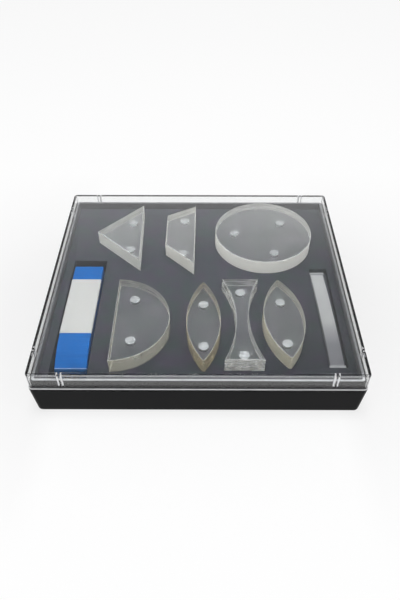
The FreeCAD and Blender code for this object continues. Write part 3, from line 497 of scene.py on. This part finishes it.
def dress(material, *names):
    """Gives CAD nodes a material."""
    for name in names:
        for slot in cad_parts[name].material_slots:
            slot.material = material


def merged_copy(name):
    """A copy of a CAD node's mesh whose loose triangles are joined."""
    mesh = bmesh.new()
    mesh.from_mesh(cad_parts[name].data)
    bmesh.ops.remove_doubles(mesh, verts=mesh.verts, dist=SAME_CORNER)
    return mesh


def middles_of_parts(name):
    """The middle of each separate part of a CAD node."""
    mesh = merged_copy(name)
    waiting = set(mesh.verts)
    middles = []
    while waiting:
        fresh = {waiting.pop()}
        part = set(fresh)
        while fresh:
            fresh = {edge.other_vert(corner) for corner in fresh for edge in corner.link_edges}
            fresh -= part
            part |= fresh
        waiting -= part
        spans = [[corner.co[i] for corner in part] for i in range(3)]
        middles.append([(min(span) + max(span)) / 2 for span in spans])
    mesh.free()
    return sorted(middles)


def from_nearest(nodes, middles):
    """How far a point lies from the nearest of a few upright axes."""
    x, y = nodes.along("X"), nodes.along("Y")
    least = None
    for middle in middles:
        aside = x - middle[0]
        ahead = y - middle[1]
        far = (aside * aside + ahead * ahead).math("SQRT")
        least = far if least is None else least & far
    return least


def new_object(name, mesh, material):
    """Turns a bmesh into an object with a material."""
    data = bpy.data.meshes.new(name)
    mesh.to_mesh(data)
    mesh.free()
    data.materials.append(material)
    made = bpy.data.objects.new(name, data)
    bpy.context.scene.collection.objects.link(made)
    return made


class OPTICS_OT_case(bpy.types.Operator):
    """Finish the black tray and the clear lid"""

    bl_idname = "optics.case"
    bl_label = "Tray and lid"

    # How far a face has to point along X and Y, along X or along Y to belong to an upright edge,
    # a side's top edge or the front's, and away from the eye to be seen at a slant. The last
    # number of each is how gently that ends.
    upright_edges = (0.42, 0.2)
    side_edges = (0.3, 0.95, 0.1)
    front_edges = (0.08, 0.8, 0.12)
    steep_slant = (0.5, 0.2)

    def tray_material(self, looks):
        """Black plastic with a fine grain, a painted highlight along the lip's upper edge, and
        painted light on the lip's inner faces.
        """
        material, nodes = new_material("case_black")
        low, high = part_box("base_tray")
        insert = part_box("foam_insert")[1]
        patches = nodes.noise(PATCH, 3.0)
        height = nodes.along("Z")

        # What shows of the lip between the insert and the lip's top is painted paler than the black
        # plastic, as painted light, and paler still on the side faces
        gap, sunk = 0.6 * MM, 1.0 * MM
        beyond_x = abs(nodes.along("X")) - (insert.x + gap)
        beyond_y = abs(nodes.along("Y")) - (insert.y + gap)
        beyond = (beyond_x | beyond_y).over(0.0, SOFT)
        inside = height.over(insert.z - sunk, SOFT) * (1 - beyond)
        painted_lining_light = nodes.mix(nodes.square_to("X"), looks.lip_inside_painted_light, looks.lip_beside_painted_light)

        # Painted highlight along the lip's upper edge, in patches, fainter beside and behind than
        # at the front
        patchy = nodes.noise(looks.highlight_patch, 3.0).about(1.0, 0.5)
        behind = nodes.along("Y").over(low.y + looks.front_lip, looks.front_lip / 2)
        edge = height.over(high.z - looks.lip_highlight_height, BLURRED) * patchy
        lip_highlight = edge * (1 - behind * looks.lip_highlight_fade)

        shade = nodes.vary(patches, looks.tray_colour, *UNEVEN)
        shade = nodes.mix(inside, shade, painted_lining_light)
        shade = nodes.mix(lip_highlight, shade, looks.lip_highlight_colour)
        nodes.finish(nodes.moulded(shade, patches, looks.tray_grain, looks.tray_roughness,
                                   looks.tray_shine))
        return material

    def painted_highlights(self, looks, nodes, bead):
        """How strongly painted highlights cover the lid's rim bead, upright rounded edges and grip
        grooves' edges.
        """
        low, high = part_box("clear_lid")
        across, ahead = abs(nodes.along("X")), abs(nodes.along("Y"))
        rounded = (nodes.facing("X") & nodes.facing("Y")).over(*self.upright_edges)

        def from_groove(beside, corner, outwards, wall):
            """How far a point of a wall lies from its groove's middle, and 0 off that wall."""
            off = abs(beside - (corner - looks.groove_place))
            return off * outwards.over(wall - looks.wall_reach, SOFT)

        off = (from_groove(across, high.x, ahead, high.y)
               | from_groove(ahead, high.y, across, high.x))
        stroke = off.between(looks.groove_half - looks.stroke_half,
                             looks.groove_half + looks.stroke_half, SOFT)
        stroke = stroke * nodes.along("Z").over(low.z + looks.groove_foot, looks.stroke_half)
        lines = bead * looks.bead_highlight | rounded * looks.upright_highlight | stroke * looks.groove_highlight
        return lines * nodes.noise(6.0 * MM, 2.0).about(1.0, 0.4)

    def painted_shade_lines(self, looks, nodes, bead):
        """How strongly painted shade darkens the seam by the bead, the walls at a slant and the
        rounded top edges.
        """
        low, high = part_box("clear_lid")
        height = nodes.along("Z")
        seam = (1 - height.over(low.z + looks.seam_high, BLURRED)) * (1 - bead)

        # Painted shade on a side wall's inner face at a slant below the lip's top, standing in for
        # light that stays trapped there
        slant = nodes.node("ShaderNodeLayerWeight", output="Facing").over(*self.steep_slant)
        inner = 1 - abs(nodes.along("X")).over(high.x - looks.wall_skin, 0.4 * MM)
        below = 1 - height.over(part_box("base_tray")[1].z, 0.5 * MM)
        slant_shade = nodes.square_to("X") * slant * inner * below

        crown = height.over(high.z - looks.crown_depth, SOFT)
        outline = nodes.facing("X").between(*self.side_edges) * crown
        brow = nodes.facing("Y").between(*self.front_edges) * crown
        return (seam * looks.seam_shade | slant_shade * looks.wall_shade
                | outline * looks.outline_shade | brow * looks.brow_shade)

    def lid_material(self, looks):
        """Clear plastic with painted highlights on its rim bead, upright rounded edges and grooves,
        and painted shade lines.
        """
        material, nodes = new_material("lid_clear")
        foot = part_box("clear_lid")[0].z
        bead = nodes.along("Z").between(foot + looks.bead_low, foot + looks.bead_high, SOFT)
        body = nodes.clear(looks.lid_tint, looks.lid_index, looks.lid_ripple)
        # Painted highlights, then painted shade lines, over the clear plastic
        body = nodes.between(self.painted_highlights(looks, nodes, bead), body,
                             nodes.diffuse(looks.lid_highlight_colour))
        body = nodes.between(self.painted_shade_lines(looks, nodes, bead), body,
                             nodes.diffuse(looks.lid_shade))
        nodes.finish(nodes.let_lamps_through(body, scaled(looks.lid_tint, LAMP_DIMMING)))
        return material

    def execute(self, context):
        looks = context.scene.optics_case
        dress(self.tray_material(looks), "base_tray")
        dress(self.lid_material(looks), "clear_lid")
        return {"FINISHED"}


class OPTICS_OT_foam(bpy.types.Operator):
    """Make the foam insert with soft cut edges"""

    bl_idname = "optics.foam"
    bl_label = "Foam insert"

    # Charcoal foam leans to purple and to green by turns
    purple_cast = (1.14, 0.95, 1.16)
    green_cast = (0.86, 1.07, 0.96)

    flat_angle = math.radians(1.0)    # up to which faces are joined before the edges are rounded
    sharp_angle = math.radians(35.0)  # from which an edge is shaded sharp

    def cut_edges(self, looks, mesh):
        """The edges of the top where the pockets and slots were cut."""
        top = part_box("foam_insert")[1].z
        return [edge for edge in mesh.edges
                if all(abs(corner.co.z - top) < SAME_HEIGHT for corner in edge.verts)
                and len(edge.link_faces) == 2 and edge.calc_face_angle() > looks.cut_angle]

    def material(self, looks):
        """Charcoal foam with open cells, with painted shade that darkens it towards the right front
        corner.
        """
        material, nodes = new_material("foam_charcoal")
        low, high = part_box("foam_insert")
        blotches = nodes.noise(looks.foam_patch, 4.0)
        pores = nodes.cells(looks.cell_size)
        crumb = nodes.noise(looks.cell_size, 2.0)
        hue = nodes.noise(looks.hue_patch, 3.0).over(0.5, 0.3)
        shade = nodes.vary(blotches * 0.6 + pores * 0.4, looks.foam_colour, 1.16, 0.84)
        shade = nodes.mix(1.0, shade, nodes.mix(hue, self.purple_cast, self.green_cast), "MULTIPLY")
        # Painted shade, darker towards the right front corner
        right = nodes.along("X").over(high.x * 0.6, high.x * 0.8)
        front = 1 - nodes.along("Y").over(low.y * 0.6, high.y)
        shade = nodes.mix((right + front) * (0.5 * looks.foam_corner_shade), shade, BLACK)
        relief = pores * 0.7 + crumb * 0.5
        nodes.finish(nodes.principled(Base_Color=shade, Roughness=looks.foam_roughness,
                                      Specular_IOR_Level=looks.foam_shine,
                                      Normal=nodes.bump(relief, looks.cell_depth)))
        return material

    def execute(self, context):
        looks = context.scene.optics_foam
        mesh = merged_copy("foam_insert")
        bmesh.ops.dissolve_limit(mesh, angle_limit=self.flat_angle, verts=mesh.verts,
                                 edges=mesh.edges)
        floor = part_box("round_disc")[0].z
        for corner in mesh.verts:
            if abs(corner.co.z - floor) < SAME_HEIGHT:
                corner.co.z -= looks.pocket_give
        bmesh.ops.bevel(mesh, geom=self.cut_edges(looks, mesh), offset=looks.edge_round, segments=3,
                        affect="EDGES", profile=0.5, material=-1, clamp_overlap=True)
        for face in mesh.faces:
            face.smooth = True
        made = new_object("foam_bed", mesh, self.material(looks))
        made.data.set_sharp_from_angle(angle=self.sharp_angle)
        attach(made, "base")
        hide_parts("foam_insert")
        return {"FINISHED"}


class OPTICS_OT_blocks(bpy.types.Operator):
    """Finish the acrylic blocks and their magnets"""

    bl_idname = "optics.blocks"
    bl_label = "Optical blocks"

    def acrylic(self, looks, name, cut, magnets):
        """Clear acrylic: polished top, hazy underside, frosted sides with saw streaks and painted
        highlight lines along their top and bottom edges, and a painted glow on some blocks.
        """
        material, nodes = new_material(name + "_acrylic")
        low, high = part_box(name)
        height = nodes.along("Z")
        flat = nodes.square_to("Z")
        under = flat * (1 - height.over((low.z + high.z) / 2, 1.0 * MM))
        bore = 1 - from_nearest(nodes, magnets).over(looks.bore_reach, SOFT)
        side = (1 - flat) * (1 - bore)
        streaks = nodes.noise(looks.saw_reach, 4.0, (1.0, 1.0, looks.saw_reach / looks.saw_pitch))

        roughness = streaks.about(looks.side_roughness + cut.haze * HAZE_ROUGHENS, 0.2)
        clear = nodes.principled(Base_Color=nodes.mix(side, looks.block_tint, cut.tint),
                                 Roughness=side * roughness + under * looks.underside_roughness,
                                 IOR=looks.block_index, Transmission_Weight=1.0,
                                 Normal=nodes.bump(streaks * side, looks.saw_depth))
        frosted = nodes.diffuse(nodes.mix(side, looks.haze_colour, scaled(cut.tint, 0.96)))
        # Painted glow: some blocks' sides emit light in their own tint, standing in for light led
        # out from within
        if cut.glow:
            painted_glow = nodes.node("ShaderNodeEmission", sockets={"Color": cut.tint})
            frosted = nodes.between(cut.glow, frosted, painted_glow)

        frost = cut.outward + nodes.within() * (cut.inward - cut.outward)
        frost = frost + streaks.about(0.0, looks.streak_contrast)
        frost = frost + nodes.noise(looks.sheen_patch, 1.0).about(0.0, looks.sheen_contrast)
        # Painted highlights: pale lines along the sides' top and bottom edges
        rim_highlight = height.over(high.z - looks.rim_highlight_width, SOFT)
        rim_highlight = rim_highlight | 1 - height.over(low.z + looks.rim_highlight_width, SOFT)
        frost = frost | rim_highlight * looks.rim_highlight_share
        haze = nodes.noise(looks.haze_patch, 3.0).about(cut.haze * looks.underside_frost,
                                                        looks.haze_contrast)
        amount = side * frost + under * haze
        body = nodes.between(amount | 0.0, clear, frosted)
        nodes.finish(nodes.let_lamps_through(body, looks.block_pass))
        return material

    def nickel(self, looks, name, magnets):
        """Nickel plating, mottled, with a darker ring on each magnet."""
        material, nodes = new_material(name + "_nickel")
        tint = looks.magnet_colour
        ring = from_nearest(nodes, magnets).between(looks.magnet_ring - looks.ring_half,
                                                    looks.magnet_ring + looks.ring_half, BLURRED)
        mottle = nodes.noise(looks.magnet_mottle, 2.0)
        shade = nodes.vary(mottle.over(0.5, 0.4), tint, 0.72, 1.1)
        shade = nodes.mix(ring * looks.ring_darkening, shade, scaled(tint, 0.35))
        nodes.finish(nodes.principled(Base_Color=shade, Metallic=1.0,
                                      Roughness=mottle.about(looks.magnet_roughness, 0.2)))
        return material

    def execute(self, context):
        looks = context.scene.optics_blocks
        for name, cut in BLOCKS.items():
            magnets = middles_of_parts(name + "_magnets")
            dress(self.acrylic(looks, name, cut, magnets), name)
            dress(self.nickel(looks, name, magnets), name + "_magnets")
        return {"FINISHED"}


class OPTICS_OT_mirror(bpy.types.Operator):
    """Finish the mirror strip"""

    bl_idname = "optics.mirror"
    bl_label = "Mirror strip"

    def carrier(self, looks):
        """Clear plastic with a painted highlight on its ends beyond the film."""
        material, nodes = new_material("mirror_carrier_clear")
        low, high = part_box("mirror_film")
        ahead = nodes.along("Y")
        ends = ahead.over(high.y, BLURRED) | 1 - ahead.over(low.y, BLURRED)
        clear = nodes.clear(looks.carrier_tint, ACRYLIC_INDEX, looks.carrier_ripple)
        body = nodes.between(ends * looks.ends_highlight, clear, nodes.diffuse(looks.ends_highlight_colour))

        # The face that the film touches must not bend light, or the facets of the two bows show.
        # A face seen from within has its normal turned round, so that is undone first.
        outwards = 1 - nodes.within() * 2
        upwards = nodes.axis("ShaderNodeNewGeometry", "True Normal", "Z") * outwards
        touching = upwards.math("LESS_THAN", -0.5) * (1 - ends)
        body = nodes.between(touching, body, nodes.node("ShaderNodeBsdfTransparent"))
        nodes.finish(nodes.let_lamps_through(body, looks.carrier_pass))
        return material

    def film(self, looks):
        """Silvered film with lengthwise streaks, mostly satin, with painted shade darkening it
        towards its front end.
        """
        material, nodes = new_material("mirror_silver")
        streaks = nodes.noise(looks.streak_width, 3.0, (1.0, 0.02, 1.0))
        cloud = nodes.noise(looks.cloud_patch, 3.0)
        shade = nodes.vary(streaks * 0.6 + cloud * 0.4, looks.film_colour, 0.9, 1.06)
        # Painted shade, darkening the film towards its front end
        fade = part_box("mirror_film")[0].y + looks.fade_place
        front = 1 - nodes.along("Y").over(fade, looks.fade_width)
        shade = nodes.mix(front * looks.film_front_shade, shade, looks.front_shade_colour)
        silver = nodes.principled(Base_Color=shade, Metallic=1.0,
                                  Roughness=streaks.about(looks.film_roughness, 0.16),
                                  Normal=nodes.bump(streaks, 0.004 * MM))
        satin = nodes.diffuse(nodes.mix(looks.satin_loss, shade, looks.satin_dark))
        nodes.finish(nodes.between(looks.film_satin, silver, satin))
        return material

    def execute(self, context):
        looks = context.scene.optics_mirror
        dress(self.film(looks), "mirror_film")
        dress(self.carrier(looks), "mirror_carrier")
        return {"FINISHED"}


class OPTICS_OT_lamp(bpy.types.Operator):
    """Finish the ray lamp's shells, label and button"""

    bl_idname = "optics.lamp"
    bl_label = "Ray lamp"

    def shell_plastic(self, looks):
        """Blue plastic with fine streaks across, painted shade at the foot of the nose and a
        painted highlight line behind it.
        """
        material, nodes = new_material("lamp_blue")
        streaks = nodes.noise(looks.body_streak, 2.0, (0.04, 1.0, 1.0))
        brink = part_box("lamp_top_shell")[0].y + looks.nose_shade
        ahead = nodes.along("Y")
        # Painted shade on the nose's foot and a painted highlight line behind it
        foot = 1 - ahead.over(brink, BLURRED)
        line = ahead.between(brink, brink + looks.nose_highlight, SOFT)
        shade = nodes.vary(streaks.over(0.5, 0.5), looks.body_colour, 0.88, 1.1)
        shade = nodes.mix(foot * looks.nose_shade_share, shade, looks.nose_shade_colour)
        shade = nodes.mix(line * looks.nose_highlight_share, shade, looks.nose_highlight_colour)
        nodes.finish(nodes.moulded(shade, streaks, looks.body_grain, looks.body_roughness,
                                   looks.body_shine))
        return material

    def label_film(self, looks):
        """Blank white film, faintly clouded and fibrous."""
        material, nodes = new_material("label_film")
        cloud = nodes.noise(looks.label_cloud, 3.0)
        fibre = nodes.bump(nodes.noise(looks.label_fibre, 2.0), 0.006 * MM)
        shade = nodes.vary(cloud, looks.label_colour, 0.97, 1.03)
        roughness = cloud.about(looks.label_roughness, 0.1)
        nodes.finish(nodes.principled(Base_Color=shade, Roughness=roughness,
                                      Specular_IOR_Level=0.3, Normal=fibre))
        return material

    def execute(self, context):
        looks = context.scene.optics_lamp
        dress(self.shell_plastic(looks),
              "lamp_top_shell", "lamp_bottom_shell", "lamp_battery_cover")
        dress(self.label_film(looks), "lamp_label")
        dress(moulded_plastic("button_grey", looks.button_colour, roughness=0.6),
              "lamp_power_button")
        return {"FINISHED"}


class OPTICS_OT_lamp_insides(bpy.types.Operator):
    """Finish the cells, contacts, board, switch, diode, lens, slit plate and screws"""

    bl_idname = "optics.lamp_insides"
    bl_label = "Inside the ray lamp"

    def cell_jacket(self, looks):
        """Bare cans at the cells' ends and a plain printed jacket between them."""
        material, nodes = new_material("cell_jacket")
        low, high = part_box("lamp_cells")
        jacket = nodes.along("Y").between(low.y + looks.can_end, high.y - looks.can_end, CRISP)
        patchy = nodes.noise(6.0 * MM, 3.0)
        shade = nodes.mix(jacket, looks.can_colour, nodes.vary(patchy, looks.jacket_colour, 0.9, 1.1))
        nodes.finish(nodes.principled(Base_Color=shade, Metallic=1 - jacket * 0.7,
                                      Roughness=patchy.about(0.325, 0.15)))
        return material

    def resist(self, looks):
        """Green resist with copper tracks under it."""
        material, nodes = new_material("board_resist")
        half_pitch = looks.track_pitch / 2
        brink = half_pitch - looks.track_width / 2
        breaks = nodes.noise(7.0 * MM, 0.0).over(0.5, 0.02)
        tracks = nodes.along("X").math("PINGPONG", half_pitch).over(brink, CRISP) * breaks
        shade = nodes.vary(tracks, looks.board_colour, 1.0, 1.7)
        nodes.finish(nodes.principled(Base_Color=shade, Roughness=0.35,
                                      Normal=nodes.bump(tracks, 0.03 * MM)))
        return material

    def diode(self, looks):
        """Water-clear epoxy with tinned leads behind it."""
        material, nodes = new_material("diode")
        leads = nodes.along("Z").over(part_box("lamp_led")[0].z + looks.lead_place, CRISP)
        shade = nodes.mix(leads, looks.epoxy_colour, looks.lead_colour)
        nodes.finish(nodes.principled(Base_Color=shade, Metallic=leads,
                                      Roughness=nodes.noise(2.0 * MM, 2.0).about(0.13, 0.1)))
        return material

    def lens(self, looks):
        """Clear moulded lens."""
        material, nodes = new_material("lens_clear")
        body = nodes.clear(looks.lens_tint, ACRYLIC_INDEX, ripple=5.0 * MM)
        nodes.finish(nodes.let_lamps_through(body, scaled(looks.lens_tint, LAMP_DIMMING)))
        return material

    def execute(self, context):
        looks = context.scene.optics_lamp
        dress(self.cell_jacket(looks), "lamp_cells")
        dress(bare_metal("contact_steel", looks.steel_colour, roughness=0.35, scratch=0.6 * MM),
              "lamp_bridge_contact", "lamp_contact_tabs", "lamp_contact_springs")
        dress(bare_metal("screw_zinc", looks.zinc_colour, roughness=0.38, scratch=0.3 * MM),
              "lamp_cover_screws", "lamp_shell_screws")
        dress(moulded_plastic("lamp_black", looks.black_colour, roughness=0.5),
              "lamp_tact_switch", "lamp_slit_plate")
        dress(moulded_plastic("plunger_ivory", looks.plunger_colour, roughness=0.5),
              "lamp_switch_plunger")
        dress(self.resist(looks), "lamp_circuit_board")
        dress(self.diode(looks), "lamp_led")
        dress(self.lens(looks), "lamp_collimating_lens")
        return {"FINISHED"}


class OPTICS_OT_stage(bpy.types.Operator):
    """Make the floor, the light and the camera"""

    bl_idname = "optics.stage"
    bl_label = "Floor, light and camera"

    def painted_shadow(self, looks, nodes):
        """Painted shadow: how much dimmer the camera sees the floor to the left and the right of
        the case.
        """
        fade_ahead, fade_inside, fade_outside = 0.2, 0.02, 0.16
        across = abs(nodes.along("X"))
        beside = nodes.along("Y").between(-looks.shadow_depth, looks.shadow_depth, fade_ahead)
        beside = beside * across.over(looks.shadow_inside, fade_inside)
        near = 1 - across.over(looks.shadow_outside, fade_outside)
        return beside * (near * (1 - looks.far_shadow) + looks.far_shadow) * looks.side_shadow

    def paper(self, looks):
        """Pale paper in which the camera, gloss and clear plastic see more white than shadow, with
        a painted shadow beside the case.
        """
        material, nodes = new_material("floor_paper")
        cloud = nodes.noise(looks.cloud_width, 1.0)
        paper = nodes.diffuse(nodes.vary(cloud, looks.floor_colour, 0.99, 1.01))
        seen = sum(nodes.node("ShaderNodeLightPath", output=kind)
                   for kind in ("Is Camera Ray", "Is Glossy Ray", "Is Transmission Ray"))
        # Painted shadow in the white that the camera sees, beside the case
        white = nodes.mix(self.painted_shadow(looks, nodes), WHITE, BLACK)
        glow = nodes.node("ShaderNodeEmission", sockets={"Color": white, "Strength": 1.0})
        nodes.finish(nodes.between((seen & 1.0) * looks.floor_glow, paper, glow))
        return material

    def floor(self, looks):
        mesh = bmesh.new()
        bmesh.ops.create_grid(mesh, x_segments=1, y_segments=1, size=looks.floor_size / 2)
        made = new_object("floor", mesh, self.paper(looks))

    def world(self):
        """A white sweep that is brightest near the floor and darker overhead."""
        world = bpy.data.worlds.new("studio")
        bpy.context.scene.world = world
        nodes = Nodes(world)
        rise = nodes.axis("ShaderNodeTexCoord", "Generated", "Z")
        level = nodes.node("ShaderNodeValToRGB", {"stops": SKY}, {0: rise})
        sky = nodes.node("ShaderNodeBackground", sockets={"Color": level})
        nodes.node("ShaderNodeOutputWorld", sockets={"Surface": sky})

    def softbox(self, looks):
        """A square lamp overhead that gloss doesn't mirror."""
        light = bpy.data.lights.new("softbox", "AREA")
        light.shape = "SQUARE"
        light.size = looks.softbox_size
        light.energy = looks.softbox_power
        made = bpy.data.objects.new("softbox", light)
        made.location = looks.softbox_place
        made.visible_glossy = False
        bpy.context.scene.collection.objects.link(made)

    def camera(self, looks):
        data = bpy.data.cameras.new("camera")
        data.lens = looks.camera_lens
        data.clip_start = 0.01
        data.clip_end = 20.0
        made = bpy.data.objects.new("camera", data)
        tilt = math.pi / 2 - looks.camera_down
        made.matrix_world = (Matrix.Translation(Vector(looks.camera_place))
                             @ Matrix.Rotation(looks.camera_turn, 4, "Z")
                             @ Matrix.Rotation(tilt, 4, "X"))
        bpy.context.scene.collection.objects.link(made)
        bpy.context.scene.camera = made

    def execute(self, context):
        looks = context.scene.optics_stage
        context.scene.view_settings.view_transform = "Standard"
        self.floor(looks)
        self.world()
        self.softbox(looks)
        self.camera(looks)
        return {"FINISHED"}


class OPTICS_PT_set(bpy.types.Panel):
    """Lists the set's sizes and colours, and the steps that make it"""

    bl_idname = "OPTICS_PT_set"
    bl_label = "Optics set"
    bl_space_type = "VIEW_3D"
    bl_region_type = "UI"
    bl_category = "Optics set"

    def draw(self, context):
        for group, looks in LOOKS.items():
            box = self.layout.box()
            for name in looks.__annotations__:
                box.prop(getattr(context.scene, group), name)
        for step in STEPS:
            self.layout.operator(step.bl_idname)


LOOKS = {
    "optics_case": CaseLooks,
    "optics_foam": FoamLooks,
    "optics_blocks": BlockLooks,
    "optics_mirror": MirrorLooks,
    "optics_lamp": LampLooks,
    "optics_stage": StageLooks,
}
STEPS = (OPTICS_OT_stage, OPTICS_OT_case, OPTICS_OT_foam, OPTICS_OT_blocks, OPTICS_OT_mirror,
         OPTICS_OT_lamp, OPTICS_OT_lamp_insides)


def register():
    for made in (*LOOKS.values(), *STEPS, OPTICS_PT_set):
        bpy.utils.register_class(made)
    for group, looks in LOOKS.items():
        setattr(bpy.types.Scene, group, PointerProperty(type=looks))


def unregister():
    for group in LOOKS:
        delattr(bpy.types.Scene, group)
    for made in (OPTICS_PT_set, *reversed(STEPS), *reversed(LOOKS.values())):
        bpy.utils.unregister_class(made)


def main():
    register()
    for step in STEPS:
        group, name = step.bl_idname.split(".")
        getattr(getattr(bpy.ops, group), name)()


if __name__ == "__main__":
    main()
